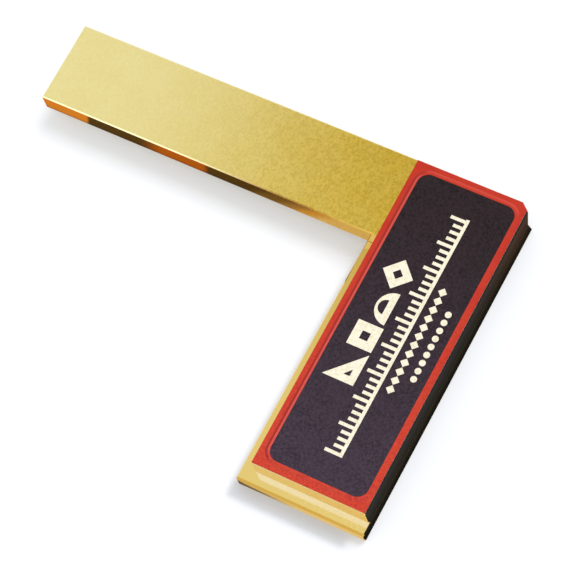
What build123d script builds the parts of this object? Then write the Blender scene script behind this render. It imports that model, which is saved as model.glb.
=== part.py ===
from build123d import *
import math
import os

# A 5 inch try square: a thick bar blade laid in the heel of a low stock.
# The stock is a body block on a wider base plate. The base stands out beyond the body as a shoulder
# along the inner side and the free end, and its inner side is the face that registers on the work.
#
# Units are millimetres. The origin is the centre of the stock base's underside. +Z is up, the blade
# points to -X, the heel of the stock is at +Y and its free end at -Y.

INCH = 25.4

# Driving dimensions
blade_reach = 5 * INCH              # registering face of the stock to the blade's tip
blade_width = 30.6
blade_thickness = 5 / 16 * INCH
tongue_length = 33.0                # stretch of the blade that is housed in the stock body
body_width = 42.3
body_length = 118.8
base_thickness = 3 / 16 * INCH
shoulder = 3 / 16 * INCH            # base beyond the body, on the inner side and the free end
outer_step = 0.4                    # base beyond the body, on the outer side: as wide as its edge break

# Heel relief: the outer corner is cut off by two leaning planes, which meet in a notch where the body
# stands on the base. Each takes this much off the outer side and off the heel.
body_cut_x, body_cut_y = 3.1, 2.5   # at the top of the body
body_notch = 1.68                   # times as much at the foot of the body
base_cut_x, base_cut_y = 5.3, 2.8   # at the underside
base_notch = 1.5                    # times as much at the top of the base

# Bevels and edge breaks
blade_break = 0.4
body_break = 0.35
outer_bevel = 0.5
base_break = 0.4
end_bevel = 0.8

# Label: adhesive film, a red sheet with a raised field, and a dark panel let into the field
adhesive_thickness = 0.1
sheet_thickness = 0.35
field_rise = 0.3
sheet_inset = 0.2                   # bare body left beside the sheet, on the inner side and both ends
sheet_inset_outer = 0.5             # the same on the outer side, as wide as its bevel
sheet_inset_cut = 0.06              # the same along the heel cut
panel_margin_inner = 3.4            # sheet's edge to the panel's edge, on each side
panel_margin_outer = 2.35
panel_margin_heel = 3.3
panel_margin_free = 3.5
panel_radius = 4.0
field_rim = 1.6                     # raised rim round the panel, with its slope
field_slope = 0.85                  # how far the rim's outer side leans in
panel_thickness = 0.4
panel_sink = 0.05                   # panel's face below the rim's crest

# Fasteners, driven from below
screw_radius = 1.75
screw_head_radius = 3.5
screw_head_land = 0.3
screw_length = 3 / 8 * INCH
screw_recess = 0.2                  # head's face above the underside
socket_width = 2.0                  # hexagon, across flats
socket_depth = 1.6
screw_tip_break = 0.4
pin_radius = 1.5
pin_length = 10.0
pin_recess = 0.5
pin_break = 0.3
hole_spare_depth = 0.7              # blind hole beyond the fastener's tip
clearance_hole = 0.15               # radial, base round a screw's shank
close_fit = 0.02                    # radial, everywhere else round a fastener
tongue_screw_dx = 9.5               # screws into the blade, from the tongue's middle
tongue_screw_dy = 8.5
pin_dx = 2.0                        # pins, from the tongue's middle
pin_dy = 9.5
body_screw_dx = 12.5                # screws into the body, from its middle line
body_screw_setback = 13.0           # screws into the body, from the blade's edge and from the free end

# Worked-out places
base_width = shoulder + body_width + outer_step
base_length = shoulder + body_length
inner_x = -base_width / 2           # registering face
outer_x = base_width / 2
heel_y = base_length / 2
free_y = -base_length / 2
body_inner_x = inner_x + shoulder
body_outer_x = body_inner_x + body_width
body_free_y = heel_y - body_length
tip_x = inner_x - blade_reach
tongue_x = body_inner_x + tongue_length
blade_inner_y = heel_y - blade_width
seat_z = base_thickness             # blade and body both sit on the base
top_z = base_thickness + blade_thickness
sheet_z = top_z + adhesive_thickness
field_z = sheet_z + sheet_thickness
crest_z = field_z + field_rise
panel_top_z = crest_z - panel_sink
tiny = 1e-3
overcut = 1.0                       # how far a cut runs past the faces it opens


def block(x0, x1, y0, y1, z0, z1):
    centre = Pos((x0 + x1) / 2, (y0 + y1) / 2, (z0 + z1) / 2)
    return centre * Box(x1 - x0, y1 - y0, z1 - z0)


def prism(points, z0, z1):
    outline = make_face(Polyline(*points, close=True))
    return Pos(0, 0, z0) * extrude(outline, z1 - z0)


def cut_heel(part, corner_x, cut_x, cut_y, z, notch_z, notch):
    """Take the outer heel corner off a part: cut_x and cut_y at height z, notch times as much at notch_z."""
    on_heel = Vector(corner_x - cut_x, heel_y, z)
    on_side = Vector(corner_x, heel_y - cut_y, z)
    in_notch = Vector(corner_x, heel_y - notch * cut_y, notch_z)
    outwards = (on_side - on_heel).cross(in_notch - on_heel)
    if outwards.X < 0:
        outwards = -outwards
    return split(part, Plane(origin=on_heel, z_dir=outwards), keep=Keep.BOTTOM)


def edges_at_height(part, z):
    """Level edges of a part at one height."""
    picked = []
    for edge in part.edges():
        box = edge.bounding_box()
        if abs(box.min.Z - z) < tiny and abs(box.max.Z - z) < tiny:
            picked.append(edge)
    return picked


def edges_at(part, axis, place, z):
    """Level edges of a part that lie at one place along an axis and at one height."""
    picked = []
    for edge in edges_at_height(part, z):
        box = edge.bounding_box()
        low, high = (box.min.X, box.max.X) if axis == "x" else (box.min.Y, box.max.Y)
        if abs(low - place) < tiny and abs(high - place) < tiny:
            picked.append(edge)
    return picked


def upright_edges(part, y):
    """Upright edges of a part at one place along Y."""
    return [e for e in part.edges().filter_by(Axis.Z) if abs(e.center().Y - y) < tiny]


def screw_profile(grow, shank_grow, bottom_z, top):
    """Half section of a countersunk screw, in the XZ plane, grown sideways to cut its hole."""
    head = screw_head_radius + grow
    shank = screw_radius + shank_grow
    land_z = screw_recess + screw_head_land
    neck_z = land_z + head - shank
    points = [(0, bottom_z), (head, bottom_z), (head, land_z), (shank, neck_z), (shank, top), (0, top)]
    return make_face(Polyline(*[(x, 0, z) for x, z in points], close=True))


def screw():
    tip_z = screw_recess + screw_length
    body = revolve(screw_profile(0, 0, screw_recess, tip_z), Axis.Z)
    body = chamfer(edges_at_height(body, tip_z), screw_tip_break)
    hexagon = RegularPolygon(socket_width / 2, 6, major_radius=False)
    return body - Pos(0, 0, screw_recess) * extrude(hexagon, socket_depth)


def screw_hole():
    """Countersunk clearance hole through the base, and the close hole above it."""
    sink = revolve(screw_profile(close_fit, clearance_hole, -overcut, seat_z), Axis.Z)
    depth = screw_recess + screw_length + hole_spare_depth
    tapped = Pos(0, 0, depth / 2) * Cylinder(screw_radius + close_fit, depth)
    return sink + tapped


def pin():
    body = Pos(0, 0, pin_recess + pin_length / 2) * Cylinder(pin_radius, pin_length)
    return chamfer(body.edges(), pin_break)


def pin_hole():
    depth = pin_recess + pin_length + hole_spare_depth
    return Pos(0, 0, (depth - overcut) / 2) * Cylinder(pin_radius + close_fit, depth + overcut)


def fastener_places():
    """Plan positions of the screws into the blade, the screws into the body, and the pins."""
    tongue_centre_x = (body_inner_x + tongue_x) / 2
    tongue_centre_y = (blade_inner_y + heel_y) / 2
    blade_screws = [(tongue_centre_x - tongue_screw_dx, tongue_centre_y + tongue_screw_dy),
                    (tongue_centre_x - tongue_screw_dx, tongue_centre_y - tongue_screw_dy),
                    (tongue_centre_x + tongue_screw_dx, tongue_centre_y)]
    pins = [(tongue_centre_x + pin_dx, tongue_centre_y + pin_dy),
            (tongue_centre_x + pin_dx, tongue_centre_y - pin_dy)]
    middle_x = (body_inner_x + body_outer_x) / 2
    near_y = blade_inner_y - body_screw_setback
    far_y = body_free_y + body_screw_setback
    body_screws = [(middle_x + dx, y) for y in (near_y, far_y) for dx in (-body_screw_dx, body_screw_dx)]
    return blade_screws, body_screws, pins


def drill(part, cutter, places):
    for x, y in places:
        part = part - Pos(x, y, 0) * cutter
    return part


def make_blade(screws, pins):
    bar = block(tip_x, tongue_x, blade_inner_y, heel_y, seat_z, top_z)
    bar = chamfer(edges_at_height(bar, seat_z) + edges_at_height(bar, top_z), blade_break)
    return drill(drill(bar, screw_hole(), screws), pin_hole(), pins)


def make_body(screws):
    part = block(body_inner_x, body_outer_x, body_free_y, heel_y, seat_z, top_z)
    part = cut_heel(part, body_outer_x, body_cut_x, body_cut_y, top_z, seat_z, body_notch)
    part = chamfer(edges_at(part, "x", body_outer_x, top_z), outer_bevel)
    part = chamfer(edges_at(part, "y", body_free_y, top_z), body_break)
    part = chamfer(edges_at(part, "x", body_inner_x, top_z), body_break)
    part = chamfer(upright_edges(part, body_free_y), body_break)
    part -= block(body_inner_x - overcut, tongue_x, blade_inner_y, heel_y + overcut,
                  seat_z - overcut, top_z + overcut)
    return drill(part, screw_hole(), screws)


def make_base(screws, pins):
    part = block(inner_x, outer_x, free_y, heel_y, 0, base_thickness)
    part = cut_heel(part, outer_x, base_cut_x, base_cut_y, 0, seat_z, base_notch)
    part = chamfer(upright_edges(part, free_y), base_break)
    part = chamfer(edges_at(part, "y", free_y, base_thickness), end_bevel)
    part = chamfer(edges_at(part, "x", inner_x, base_thickness), base_break)
    part = chamfer(edges_at(part, "x", outer_x, base_thickness), base_break)
    part = chamfer(edges_at_height(part, 0), base_break)
    return drill(drill(part, screw_hole(), screws), pin_hole(), pins)


def sheet_outline():
    """Plan of the label sheet: a rectangle whose outer heel corner follows the body's cut."""
    x0 = body_inner_x + sheet_inset
    x1 = body_outer_x - sheet_inset_outer
    y0 = body_free_y + sheet_inset
    y1 = heel_y - sheet_inset
    slope = body_cut_y / body_cut_x
    cut_start_x = body_outer_x - body_cut_x + sheet_inset / slope - sheet_inset_cut
    cut_end_y = y1 - slope * (x1 - cut_start_x)
    return [(x0, y0), (x1, y0), (x1, cut_end_y), (cut_start_x, y1), (x0, y1)]


def rounded_plate(grow, z0, z1, lean=0.0):
    """The panel's rounded rectangle, grown all round, as a plate between two heights. Its sides lean in by
    lean on the way up."""
    x0 = body_inner_x + sheet_inset + panel_margin_inner - grow
    x1 = body_outer_x - sheet_inset_outer - panel_margin_outer + grow
    y0 = body_free_y + sheet_inset + panel_margin_free - grow
    y1 = heel_y - sheet_inset - panel_margin_heel + grow
    face = RectangleRounded(x1 - x0, y1 - y0, panel_radius + grow)
    taper = math.degrees(math.atan2(lean, z1 - z0))
    return Pos((x0 + x1) / 2, (y0 + y1) / 2, z0) * extrude(face, z1 - z0, taper=taper)


def make_adhesive():
    return prism(sheet_outline(), top_z, sheet_z)


def make_sheet():
    sheet = prism(sheet_outline(), sheet_z, field_z)
    field = rounded_plate(field_rim, field_z, crest_z, field_slope)
    pocket = rounded_plate(0, panel_top_z - panel_thickness, crest_z + overcut)
    return sheet + field - pocket


def make_panel():
    return rounded_plate(0, panel_top_z - panel_thickness, panel_top_z)


def main():
    os.makedirs("parts", exist_ok=True)
    blade_screws, body_screws, pins = fastener_places()
    nodes = {
        "stock_base": make_base(blade_screws + body_screws, pins),
        "stock_body": make_body(body_screws),
        "blade": make_blade(blade_screws, pins),
        "label_adhesive": make_adhesive(),
        "label_sheet": make_sheet(),
        "label_panel": make_panel(),
    }
    for group, places, piece in (("blade_screw", blade_screws, screw()), ("body_screw", body_screws, screw()),
                                 ("dowel_pin", pins, pin())):
        for number, (x, y) in enumerate(places, start=1):
            nodes[f"{group}_{number}"] = Pos(x, y, 0) * piece
    for name, piece in nodes.items():
        solids = piece.solids()
        export_step(solids[0] if len(solids) == 1 else Compound(solids), f"parts/{name}.step")
        print(name, len(solids), round(sum(s.volume for s in solids), 1))


main()
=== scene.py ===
import math

import bmesh
import bpy
from mathutils import Matrix, Vector

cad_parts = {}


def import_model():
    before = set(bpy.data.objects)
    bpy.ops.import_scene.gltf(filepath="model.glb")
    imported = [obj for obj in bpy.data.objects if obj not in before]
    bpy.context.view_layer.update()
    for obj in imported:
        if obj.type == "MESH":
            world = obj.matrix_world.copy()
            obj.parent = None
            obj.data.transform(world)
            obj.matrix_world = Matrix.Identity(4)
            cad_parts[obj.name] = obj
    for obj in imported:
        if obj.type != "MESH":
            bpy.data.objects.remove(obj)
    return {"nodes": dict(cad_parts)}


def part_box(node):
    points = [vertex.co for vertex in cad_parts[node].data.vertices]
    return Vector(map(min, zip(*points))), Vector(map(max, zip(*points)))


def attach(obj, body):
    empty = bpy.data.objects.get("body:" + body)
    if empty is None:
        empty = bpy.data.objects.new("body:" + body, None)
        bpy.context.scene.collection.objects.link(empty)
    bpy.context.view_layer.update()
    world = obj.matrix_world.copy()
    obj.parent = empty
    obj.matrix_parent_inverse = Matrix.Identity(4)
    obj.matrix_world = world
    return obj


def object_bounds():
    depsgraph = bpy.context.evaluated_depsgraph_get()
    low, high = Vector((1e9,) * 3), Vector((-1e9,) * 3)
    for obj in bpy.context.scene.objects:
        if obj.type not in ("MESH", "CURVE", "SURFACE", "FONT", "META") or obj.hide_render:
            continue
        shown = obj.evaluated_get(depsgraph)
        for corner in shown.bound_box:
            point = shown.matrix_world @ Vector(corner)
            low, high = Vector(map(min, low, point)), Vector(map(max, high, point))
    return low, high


# A 5 inch try square in gold anodised metal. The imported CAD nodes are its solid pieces, and this script
# gives them their finishes, prints the label and sets up the floor, the light and the camera.

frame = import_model()
cad_low, cad_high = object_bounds()
nodes = frame["nodes"]
MM = 0.001

# Places on the square, from the frame
base_low, base_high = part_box("stock_base")
blade_low, blade_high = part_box("blade")
panel_low, panel_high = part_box("label_panel")
sheet_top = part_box("label_sheet")[1].z
inner_x, outer_x = base_low.x, base_high.x
free_y, heel_y = base_low.y, blade_high.y
tip_x, blade_inner_y = blade_low.x, blade_low.y


# ---------------------------------------------------------------- node helpers

class Finish:
    """A material's node tree, written one node at a time."""

    def __init__(self, name):
        self.material = bpy.data.materials.new(name)
        self.material.use_nodes = True
        self.tree = self.material.node_tree
        self.tree.nodes.clear()
        self.output = self.tree.nodes.new("ShaderNodeOutputMaterial")
        self.place = self.tree.nodes.new("ShaderNodeTexCoord")

    def feed(self, socket, value):
        """Give a socket a fixed value, or link another socket to it."""
        if isinstance(value, bpy.types.NodeSocket):
            self.tree.links.new(value, socket)
        else:
            socket.default_value = value

    def node(self, kind, inputs, **settings):
        """Add a node, with inputs by the names or numbers of its sockets."""
        made = self.tree.nodes.new("ShaderNode" + kind)
        for key, value in settings.items():
            setattr(made, key, value)
        for key, value in inputs.items():
            self.feed(made.inputs[key], value)
        return made

    def noise(self, scale, stretch=(1, 1, 1), detail=3.0, rough=0.55, seed=0.0):
        """Noise over the object's own place; scale is in patches per metre."""
        where = self.node("Mapping", {"Vector": self.place.outputs["Object"], "Scale": stretch,
                                      "Location": (seed, seed, seed)})
        made = self.node("TexNoise", {"Vector": where.outputs[0], "Scale": scale, "Detail": detail,
                                      "Roughness": rough})
        return made.outputs["Fac"]

    def ramp(self, value, low, high, to_low=0.0, to_high=1.0, kind="SMOOTHSTEP"):
        """Goes from to_low to to_high as value goes from low to high."""
        made = self.node("MapRange", {"Value": value, "From Min": low, "From Max": high,
                                      "To Min": to_low, "To Max": to_high}, interpolation_type=kind)
        return made.outputs["Result"]

    def calc(self, operation, a, b=0.0):
        made = self.node("Math", {0: a, 1: b}, operation=operation)
        return made.outputs[0]

    def mix(self, share, a, b, blend="MIX"):
        made = self.node("Mix", {"Factor": share}, data_type="RGBA", blend_type=blend)
        self.feed(made.inputs[6], a)
        self.feed(made.inputs[7], b)
        return made.outputs[2]

    def axis(self, source, letter):
        """One axis of the point's place, "Object", or of its surface direction, "Normal"."""
        split = self.node("SeparateXYZ", {"Vector": self.place.outputs[source]})
        return split.outputs[letter]

    def bump(self, height, distance, strength=1.0, under=None):
        inputs = {"Height": height, "Distance": distance, "Strength": strength}
        if under is not None:
            inputs["Normal"] = under
        return self.node("Bump", inputs).outputs[0]

    def surface(self, shader):
        self.tree.links.new(shader.outputs[0], self.output.inputs["Surface"])
        return self.material

    def principled(self, **inputs):
        """The finished material; an input's name has _ where the socket's has a space."""
        named = {key.replace("_", " "): value for key, value in inputs.items()}
        return self.surface(self.node("BsdfPrincipled", named))

    def emission(self, colour):
        return self.surface(self.node("Emission", {"Color": colour}))


def grey(level):
    return (level, level, level, 1.0)


# ---------------------------------------------------------------- materials of the square

EDGE_BREAK_UP = math.sqrt(0.5)      # the share of its direction that a 45 degree edge break has in Z


def gold(name, pale, deep, fade, roughness, edge_roughness, grain, lean=0.0, painted_highlight=0.0):
    """Satin gold anodising. The tone goes from pale to deep along X over fade, with a fine mottled grain;
    where pale and deep differ much, as on the blade, the pale end is a painted sheen for the light reflected
    there.
    Edge breaks and upright faces are smoother than level ones, and seem to lean back by lean. At the pale end
    the edge breaks get a paler painted highlight, by the share in the last argument."""
    f = Finish(name)
    along = f.ramp(f.axis("Object", "X"), fade[0], fade[1])
    in_z = f.calc("ABSOLUTE", f.axis("Normal", "Z"))
    level = f.ramp(in_z, 0.80, 0.97)
    mottle = f.noise(1300, stretch=(1.0, 0.8, 1.0), detail=2.0, seed=3.0)
    cloud = f.noise(90, detail=3.0, seed=7.0)
    patch = f.mix(f.ramp(mottle, 0.32, 0.68), (0.70, 0.66, 0.50, 1), (1.20, 1.22, 1.4, 1))
    amount = f.ramp(along, 0.0, 1.0, grain * 0.3, grain)
    # Pale to deep along X: on the blade this is a painted sheen, light reflected at the tip end.
    tone = f.mix(along, pale, deep)
    tone = f.mix(amount, tone, f.mix(1.0, tone, patch, "MULTIPLY"))
    tone = f.mix(0.08, tone, f.mix(f.ramp(cloud, 0.35, 0.65), deep, pale))
    # Painted highlight: the edge breaks are made paler towards the pale end.
    if painted_highlight:
        off_break = f.calc("ABSOLUTE", f.calc("SUBTRACT", in_z, EDGE_BREAK_UP))
        on_break = f.ramp(off_break, 0.08, 0.16, painted_highlight, 0.0)
        at_pale_end = f.ramp(along, 0.1, 0.9, 1.0, 0.0)
        highlight_tone = (0.90, 0.84, 0.60, 1)
        tone = f.mix(f.calc("MULTIPLY", on_break, at_pale_end), tone, highlight_tone)
    rough = f.calc("ADD", f.ramp(level, 0.0, 1.0, edge_roughness, roughness),
                   f.ramp(mottle, 0.3, 0.7, -0.03, 0.03))
    relief = f.bump(mottle, 0.02 * MM, f.ramp(level, 0.0, 1.0, 0.05, 0.3))
    if lean:
        rise = f.calc("MULTIPLY", f.axis("Object", "Z"), -math.tan(lean))
        relief = f.bump(rise, 1.0, under=relief)
    return f.principled(Base_Color=tone, Metallic=1.0, Roughness=rough, Normal=relief)


def red_enamel():
    """Red enamel, deeper towards the heel. The raised rim has painted shade on the slope towards the blade
    side, and a paler painted highlight on its crest and on the heel's slope."""
    f = Finish("red_enamel")
    speck = f.noise(1300, detail=3.0, seed=2.0)
    cloud = f.noise(120, detail=2.0, seed=5.0)
    to_heel = f.ramp(f.axis("Object", "Y"), free_y, heel_y)
    pale = f.mix(to_heel, (0.60, 0.046, 0.014, 1), (0.47, 0.018, 0.007, 1))
    tone = f.mix(f.ramp(speck, 0.3, 0.7), (0.44, 0.020, 0.008, 1), pale)
    tone = f.mix(f.ramp(cloud, 0.3, 0.7, 0.0, 0.3), tone, (0.54, 0.050, 0.014, 1))
    # A paler painted highlight on the rim's crest, strongest on the blade side, and on the slope facing the
    # heel.
    painted_highlight = (0.64, 0.115, 0.095, 1)
    on_crest = f.ramp(f.axis("Object", "Z"), sheet_top - 0.06 * MM, sheet_top - 0.01 * MM, 0.0, 0.42)
    blade_side = f.ramp(f.axis("Object", "X"), panel_low.x - 0.5 * MM, panel_low.x + 1.0 * MM, 1.0, 0.08)
    tone = f.mix(f.calc("MULTIPLY", on_crest, blade_side), tone, painted_highlight)
    tone = f.mix(f.ramp(f.axis("Normal", "Y"), 0.1, 0.25, 0.0, 0.22), tone, painted_highlight)
    # Painted shade on the rim's slope that faces the blade side, -X.
    painted_shade = f.ramp(f.axis("Normal", "X"), -0.25, -0.1, 0.85, 0.0)
    tone = f.mix(painted_shade, tone, (0.30, 0.010, 0.006, 1))
    return f.principled(Base_Color=tone, Roughness=f.ramp(speck, 0.3, 0.7, 0.30, 0.42),
                        Normal=f.bump(speck, 0.012 * MM, 0.4), Specular_IOR_Level=0.2)


def black_print():
    """Black print with a fine texture, a little greyer and more violet towards the free end."""
    f = Finish("black_print")
    fine = f.noise(1100, detail=4.0, rough=0.65, seed=4.0)
    cloud = f.noise(150, detail=4.0, seed=9.0)
    to_heel = f.ramp(f.axis("Object", "Y"), free_y, heel_y)
    pale = f.mix(to_heel, (0.054, 0.034, 0.048, 1), (0.026, 0.014, 0.016, 1))
    dark = f.mix(to_heel, (0.020, 0.012, 0.019, 1), (0.006, 0.003, 0.004, 1))
    tone = f.mix(f.ramp(fine, 0.3, 0.7), dark, pale)
    tone = f.mix(f.ramp(cloud, 0.35, 0.7, 0.0, 0.4), tone, pale)
    return f.principled(Base_Color=tone, Roughness=f.ramp(fine, 0.3, 0.7, 0.42, 0.58),
                        Normal=f.bump(fine, 0.015 * MM, 0.5), Specular_IOR_Level=0.15)


def cream_print():
    f = Finish("cream_print")
    fine = f.noise(1600, detail=3.0, seed=6.0)
    tone = f.mix(f.ramp(fine, 0.25, 0.6), (0.68, 0.59, 0.38, 1), (0.84, 0.79, 0.62, 1))
    return f.principled(Base_Color=tone, Roughness=0.55, Normal=f.bump(fine, 0.01 * MM, 0.4))


def adhesive_film():
    f = Finish("adhesive_film")
    fine = f.noise(900, detail=2.0, seed=8.0)
    tone = f.mix(fine, (0.62, 0.57, 0.44, 1), (0.78, 0.74, 0.62, 1))
    return f.principled(Base_Color=tone, Roughness=0.6, Normal=f.bump(fine, 0.01 * MM, 0.3))


def steel(name, dark, light, roughness):
    """Grey steel with fine marks along its axis, clouded from dark to light."""
    f = Finish(name)
    fine = f.noise(1800, stretch=(1, 1, 0.2), detail=3.0, seed=12.0)
    cloud = f.noise(260, detail=3.0, seed=14.0)
    tone = f.mix(f.ramp(cloud, 0.3, 0.7), grey(dark), grey(light))
    rough = f.ramp(fine, 0.3, 0.7, roughness - 0.07, roughness + 0.07)
    return f.principled(Base_Color=tone, Metallic=1.0, Roughness=rough, Normal=f.bump(fine, 0.01 * MM, 0.4))


def dress(names, material):
    for name in names:
        slots = nodes[name].data.materials
        slots.clear()
        slots.append(material)


def dress_nodes():
    blade_fade = (tip_x + 26 * MM, inner_x)
    stock_fade = (inner_x, outer_x)
    # The blade's pale tip and deep stock end are a painted sheen, and its edge breaks get a painted
    # highlight.
    dress(["blade"],
          gold("blade_gold", (0.84, 0.70, 0.30, 1), (0.74, 0.52, 0.08, 1), blade_fade,
               roughness=0.30, edge_roughness=0.10, grain=0.40, painted_highlight=0.7))
    dress(["stock_base"],
          gold("base_gold", (0.78, 0.56, 0.17, 1), (0.80, 0.57, 0.17, 1), stock_fade,
               roughness=0.13, edge_roughness=0.10, grain=0.14))
    dress(["stock_body"],
          gold("body_gold", (0.92, 0.80, 0.54, 1), (0.90, 0.74, 0.43, 1), stock_fade,
               roughness=0.12, edge_roughness=0.11, grain=0.14, lean=math.radians(4)))
    dress(["label_sheet"], red_enamel())
    dress(["label_panel"], black_print())
    dress(["label_adhesive"], adhesive_film())
    dress([name for name in nodes if "screw" in name],
          steel("screw_zinc", dark=0.30, light=0.46, roughness=0.35))
    dress([name for name in nodes if "pin" in name],
          steel("pin_ground", dark=0.50, light=0.62, roughness=0.25))


# ---------------------------------------------------------------- label print

# Outlines of the print are closed loops in millimetres from the panel's middle, u along the stock from free
# end to heel and v towards the blade side.

PRINT_THICKNESS = 0.03 * MM

SIGNS_FOOT = 3.4
SCALE_START, SCALE_END = -45.8, 45.9
SCALE_FOOT, BAR_TOP = -4.9, -3.7
SHORT_TICK_TOP, LONG_TICK_TOP = -0.4, 1.7
TICK_COUNT, TICK_PITCH, TICK_WIDTH = 37, 2.5, 1.2


def triangle(u, v, wide, tall):
    return [(u, v), (u + wide, v), (u, v + tall)]


def rectangle(u, v, wide, tall):
    return [(u, v), (u + wide, v), (u + wide, v + tall), (u, v + tall)]


def arc(u, v, radius, count, sweep=math.tau):
    """A ring of count corners round u, v, or with a shorter sweep an arc of that many steps, closed straight
    across."""
    corners = count if sweep == math.tau else count + 1
    turns = [sweep * i / count for i in range(corners)]
    return [(u + radius * math.cos(turn), v + radius * math.sin(turn)) for turn in turns]


def printed(name, outlines, material):
    """Flat print on the panel. An outline inside another is a hole, and no two may overlap or cross."""
    curve = bpy.data.curves.new(name + "_outline", "CURVE")
    curve.dimensions = "2D"
    curve.fill_mode = "BOTH"
    curve.extrude = PRINT_THICKNESS / 2
    for loop in outlines:
        spline = curve.splines.new("POLY")
        spline.points.add(len(loop) - 1)
        for point, (u, v) in zip(spline.points, loop):
            point.co = (u * MM, v * MM, 0, 1)
        spline.use_cyclic_u = True
    holder = bpy.data.objects.new(name + "_outline", curve)
    mesh = bpy.data.meshes.new_from_object(holder)
    bpy.data.objects.remove(holder)
    middle = (panel_low + panel_high) / 2
    height = panel_high.z + PRINT_THICKNESS / 2
    turn = Matrix.Rotation(math.radians(90), 4, "Z")
    mesh.transform(Matrix.Translation((middle.x, middle.y, height)) @ turn)
    bm = bmesh.new()
    bm.from_mesh(mesh)
    bmesh.ops.remove_doubles(bm, verts=bm.verts, dist=1e-7)
    bmesh.ops.recalc_face_normals(bm, faces=bm.faces)
    bm.to_mesh(mesh)
    bm.free()
    mesh.name = name
    mesh.materials.append(material)
    made = bpy.data.objects.new(name, mesh)
    bpy.context.scene.collection.objects.link(made)
    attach(made, "root")


def sign_outlines():
    """Drawing signs, each with a hole: set square, square, half round protractor and lozenge."""
    set_square = [triangle(-22.3, SIGNS_FOOT, 11.7, 11.5), triangle(-19.7, SIGNS_FOOT + 2.6, 2.5, 2.4)]
    square = [rectangle(-9.6, SIGNS_FOOT, 9.2, 9.2), rectangle(-6.5, SIGNS_FOOT + 3.1, 3.0, 3.0)]
    protractor = [arc(6.8, SIGNS_FOOT + 0.6, 6.0, 24, math.pi), arc(6.8, SIGNS_FOOT + 3.0, 2.7, 16, math.pi)]
    lozenge = [arc(19.0, SIGNS_FOOT + 4.8, 5.6, 4), arc(19.0, SIGNS_FOOT + 4.8, 1.9, 4)]
    return set_square + square + protractor + lozenge


def scale_outline():
    """A plain scale in one outline: along the bar's foot, and back over its ticks. Every fourth is long."""
    outline = [(SCALE_START, SCALE_FOOT), (SCALE_END, SCALE_FOOT), (SCALE_END, BAR_TOP)]
    for i in reversed(range(TICK_COUNT)):
        u = SCALE_START + TICK_PITCH * i
        top = LONG_TICK_TOP if i % 4 == 0 else SHORT_TICK_TOP
        outline += [(u + TICK_WIDTH, BAR_TOP), (u + TICK_WIDTH, top), (u, top), (u, BAR_TOP)]
    return outline


def row(start, pitch, count, v, radius, corners):
    """A row of equal rings along u."""
    return [arc(start + pitch * i, v, radius, corners) for i in range(count)]


def print_label():
    cream = cream_print()
    printed("print_signs", sign_outlines(), cream)
    printed("print_scale", [scale_outline()], cream)
    lozenges = row(start=-18.3, pitch=3.4, count=12, v=-8.3, radius=1.6, corners=4)
    printed("print_lozenges", lozenges, cream)
    dots = row(start=-12.0, pitch=3.1, count=9, v=-13.6, radius=1.15, corners=16)
    printed("print_dots", dots, cream)


# ---------------------------------------------------------------- studio

FLOOR_Z = -0.05 * MM        # just clear of the square's underside
FLOOR_REACH = 2.0
LYING_Z = 0.2 * MM          # cards that lie on the floor
FLAG_Z = 4.2 * MM           # a little below the top of the stock's base
CEILING_Z = 0.36
ROOM_X = 0.13               # where the outer side's bench meets the room behind it
FRONT_Y = -0.35             # the tall card in front


def flat(x0, x1, y0, y1, z):
    return [(x0, y0, z), (x1, y0, z), (x1, y1, z), (x0, y1, z)]


def upright_x(x, y0, y1, z0, z1):
    return [(x, y0, z0), (x, y1, z0), (x, y1, z1), (x, y0, z1)]


def upright_y(y, x0, x1, z0, z1):
    return [(x0, y, z0), (x1, y, z0), (x1, y, z1), (x0, y, z1)]


def hide(made, *rays):
    """Make an object invisible to some kinds of rays."""
    for ray in rays:
        setattr(made, "visible_" + ray, False)


def plane(name, corners, material):
    mesh = bpy.data.meshes.new(name)
    mesh.from_pydata(corners, [], [(0, 1, 2, 3)])
    mesh.materials.append(material)
    made = bpy.data.objects.new(name, mesh)
    bpy.context.scene.collection.objects.link(made)
    return made


def reflector(name, corners, material):
    """A studio card that is only seen in reflections: it lights nothing else and casts no shadow."""
    hide(plane(name, corners, material), "camera", "diffuse", "shadow", "transmission")


def stripes(f, tone, value, stops):
    """A tone that changes along value, at each stop's place and over its width, to its colour."""
    for place, width, colour in stops:
        tone = f.mix(f.ramp(value, place - width / 2, place + width / 2), tone, colour)
    return tone


def floor():
    """A white table that is softly lit from within, so that shadows on it stay pale."""
    f = Finish("pale_floor")
    fine = f.noise(40, detail=2.0, seed=1.0)
    tone = f.mix(fine, (0.64, 0.655, 0.69, 1), (0.655, 0.67, 0.705, 1))
    white = f.principled(Base_Color=tone, Roughness=0.9, Specular_IOR_Level=0.1,
                         Emission_Color=(0.95, 0.97, 1.0, 1), Emission_Strength=0.30)
    plane("floor", flat(-FLOOR_REACH, FLOOR_REACH, -FLOOR_REACH, FLOOR_REACH, FLOOR_Z), white)


def skirt_flag():
    """A dark card close to the floor that only keeps light off it, beside the stock's inner side and free
    end, where the shadow is deep."""
    dark = Finish("flag_black").principled(Base_Color=grey(0.05), Roughness=0.9)
    corners = flat(inner_x - 1.3 * MM, outer_x - 5 * MM, free_y - 2.9 * MM, blade_inner_y - 4 * MM, FLAG_Z)
    hide(plane("skirt_flag", corners, dark), "camera", "glossy", "transmission")


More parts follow.
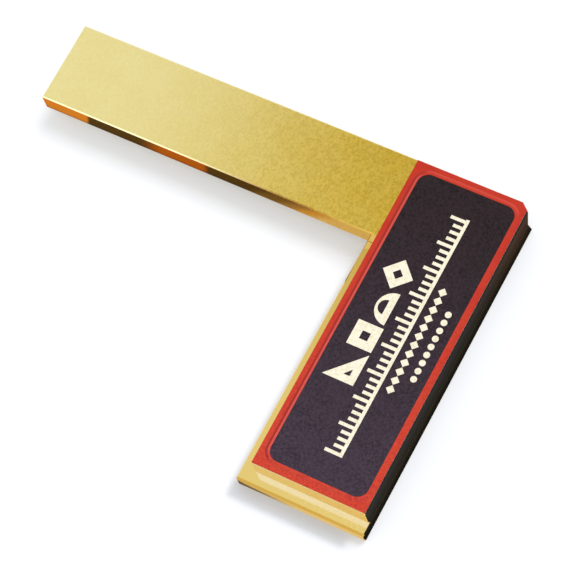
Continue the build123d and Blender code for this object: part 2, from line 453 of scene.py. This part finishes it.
def ceiling_card():
    """Overhead gradient: warm and dim behind the heel, white over the blade's tip, brightest a little in
    front of the free end."""
    f = Finish("ceiling_glow")
    behind_heel = (-0.08, 0.25, CEILING_Z)
    away = f.node("VectorMath", {0: f.place.outputs["Object"], 1: behind_heel}, operation="DISTANCE")
    tone = f.mix(f.ramp(away.outputs["Value"], 0.05, 0.21), (0.58, 0.48, 0.10, 1), (1.0, 1.06, 1.10, 1))
    before = f.calc("MULTIPLY", f.axis("Object", "Y"), -1.0)
    tone = stripes(f, tone, before, [(0.055, 0.06, (1.22, 1.55, 3.6, 1)),
                                     (0.175, 0.05, (1.03, 1.08, 1.25, 1))])
    reflector("ceiling_card", flat(-0.9, 0.7, -0.6, 0.9, CEILING_Z), f.emission(tone))


def bench_cards():
    """A dark bench at the outer side, which goes brown at the heel, and the dim room behind it. Next to the
    stock the bench is darker still, a painted contact shadow.
    """
    f = Finish("dark_bench")
    # Painted contact shadow: near black at the stock's outer side, lighter over 6 mm away from it.
    away = f.ramp(f.axis("Object", "X"), outer_x, outer_x + 6 * MM, kind="LINEAR")
    at_heel = f.ramp(f.axis("Object", "Y"), heel_y - 45 * MM, heel_y)
    far = f.mix(at_heel, (0.046, 0.049, 0.062, 1), (0.096, 0.063, 0.060, 1))
    bench = f.emission(f.mix(away, (0.008, 0.010, 0.016, 1), far))
    reflector("outer_bench", flat(outer_x, ROOM_X, free_y - 0.08, heel_y + 0.12, LYING_Z), bench)
    dim = Finish("dim_room").emission((0.030, 0.032, 0.06, 1))
    reflector("outer_room", upright_x(ROOM_X, free_y - 0.3, heel_y + 0.5, 0.0, 0.16), dim)
    brown = Finish("heel_corner").emission((0.06, 0.045, 0.05, 1))
    corner = flat(outer_x - 12 * MM, outer_x, heel_y - 6 * MM, heel_y + 12 * MM, LYING_Z)
    reflector("heel_corner", corner, brown)


def wood_card():
    """Brown wood with two sunlit patches, in the corner between blade and stock. Places run along the blade
    from its tip, and across the card from the blade."""
    f = Finish("brown_wood")
    along = f.calc("SUBTRACT", f.axis("Object", "X"), tip_x)
    across = f.calc("SUBTRACT", blade_inner_y, f.axis("Object", "Y"))
    upright = f.calc("ADD", along, f.calc("MULTIPLY", across, 0.6))
    slanted = f.calc("ADD", along, f.calc("MULTIPLY", across, -3.0))
    dark = (0.097, 0.056, 0.020, 1)
    tone = f.mix(f.ramp(across, 1.4 * MM, 2.8 * MM), (0.70, 0.27, 0.05, 1), (0.76, 0.27, 0.047, 1))
    tone = stripes(f, tone, upright, [(15.6 * MM, 1.5 * MM, dark),
                                      (41.5 * MM, 11 * MM, (0.49, 0.131, 0.017, 1)),
                                      (63.4 * MM, 3 * MM, dark)])
    shade = f.mix(1.0, tone, (0.52, 0.60, 1.1, 1), "MULTIPLY")
    tone = f.mix(f.ramp(across, 1.7 * MM, 2.5 * MM, 0.85, 0.0), tone, shade)
    tone = stripes(f, tone, slanted, [(74.5 * MM, 8 * MM, (0.20, 0.12, 0.045, 1)),
                                      (85.0 * MM, 6 * MM, (0.39, 0.23, 0.107, 1)),
                                      (91.0 * MM, 5 * MM, (0.68, 0.38, 0.11, 1)),
                                      (98.0 * MM, 7 * MM, (0.80, 0.62, 0.36, 1))])
    reach = flat(tip_x - 8 * MM, inner_x, blade_inner_y - 12 * MM, blade_inner_y, LYING_Z)
    reflector("inner_wood", reach, f.emission(tone))


def paper_card():
    """Cream paper on the table in front of the free end, with a painted contact shadow where the stock's
    inner corner stands on it.
    """
    f = Finish("cream_paper")
    on_paper = f.ramp(f.axis("Object", "X"), inner_x - 3 * MM, inner_x + 5 * MM)
    tone = f.mix(on_paper, grey(0.15), (0.90, 0.76, 0.45, 1))
    # Painted contact shadow in front of the free end, near the inner corner.
    corner = f.ramp(f.axis("Object", "X"), inner_x + 3 * MM, inner_x + 24 * MM, 0.9, 0.0)
    contact = f.ramp(f.axis("Object", "Y"), free_y - 0.9 * MM, free_y - 0.4 * MM)
    tone = f.mix(f.calc("MULTIPLY", corner, contact), tone, (0.10, 0.06, 0.03, 1))
    reach = flat(inner_x - 30 * MM, outer_x, free_y - 30 * MM, free_y, LYING_Z)
    reflector("end_paper", reach, f.emission(tone))


def front_card():
    """A tall card in front of the square, which the edge breaks reflect."""
    f = Finish("front_glow")
    across = f.axis("Object", "X")
    tone = stripes(f, (1.5, 1.5, 1.35, 1), across, [(-0.235, 0.07, (0.62, 0.48, 0.42, 1)),
                                                    (-0.175, 0.03, (1.1, 1.05, 1.1, 1)),
                                                    (-0.145, 0.02, (0.85, 0.72, 0.45, 1))])
    reflector("front_card", upright_y(FRONT_Y, -0.5, 0.4, 0.02, 0.35), f.emission(tone))


def world():
    made = bpy.data.worlds.new("studio")
    bpy.context.scene.world = made
    made.use_nodes = True
    sky = made.node_tree.nodes["Background"].inputs
    sky["Color"].default_value = grey(1.0)
    sky["Strength"].default_value = 0.82


SUN_AZIMUTH = math.radians(16.5)        # from the heel's side, +Y, towards +X
SUN_ELEVATION = math.radians(56)
SUN_WIDTH = math.radians(32)


def key_light():
    light = bpy.data.lights.new("key", "SUN")
    light.energy = 1.5
    light.angle = SUN_WIDTH
    made = bpy.data.objects.new("key", light)
    bpy.context.scene.collection.objects.link(made)
    hide(made, "glossy")
    towards = Vector((math.sin(SUN_AZIMUTH), math.cos(SUN_AZIMUTH), math.tan(SUN_ELEVATION)))
    made.rotation_mode = "QUATERNION"
    made.rotation_quaternion = towards.to_track_quat("Z", "Y")


# The camera's place: its direction from the point that it aims at, with azimuth from -Y towards +X, and how
# far it is rolled
AZIMUTH = math.radians(48.47)
ELEVATION = math.radians(64.05)
ROLL = math.radians(-22.26)
DISTANCE = 951.7 * MM
AIM = Vector((26.4 * MM, 2.4 * MM, 6.0 * MM))       # from the middle of the square's box
SENSOR, LENS = 36.0, 180.0


def camera():
    data = bpy.data.cameras.new("camera")
    data.sensor_width = SENSOR
    data.lens = LENS
    data.clip_start = 0.05
    data.clip_end = 20.0
    made = bpy.data.objects.new("camera", data)
    bpy.context.scene.collection.objects.link(made)
    bpy.context.scene.camera = made
    back = Vector((math.sin(AZIMUTH) * math.cos(ELEVATION), -math.cos(AZIMUTH) * math.cos(ELEVATION),
                   math.sin(ELEVATION)))
    right = Vector((math.cos(AZIMUTH), math.sin(AZIMUTH), 0.0))
    up = back.cross(right)
    turn = Matrix((right, up, back)).transposed() @ Matrix.Rotation(ROLL, 3, "Z")
    target = (cad_low + cad_high) / 2 + AIM
    made.matrix_world = Matrix.Translation(target + back * DISTANCE) @ turn.to_4x4()


dress_nodes()
print_label()
floor()
skirt_flag()
ceiling_card()
bench_cards()
wood_card()
paper_card()
front_card()
world()
key_light()
camera()
bpy.context.scene.view_settings.view_transform = "Standard"
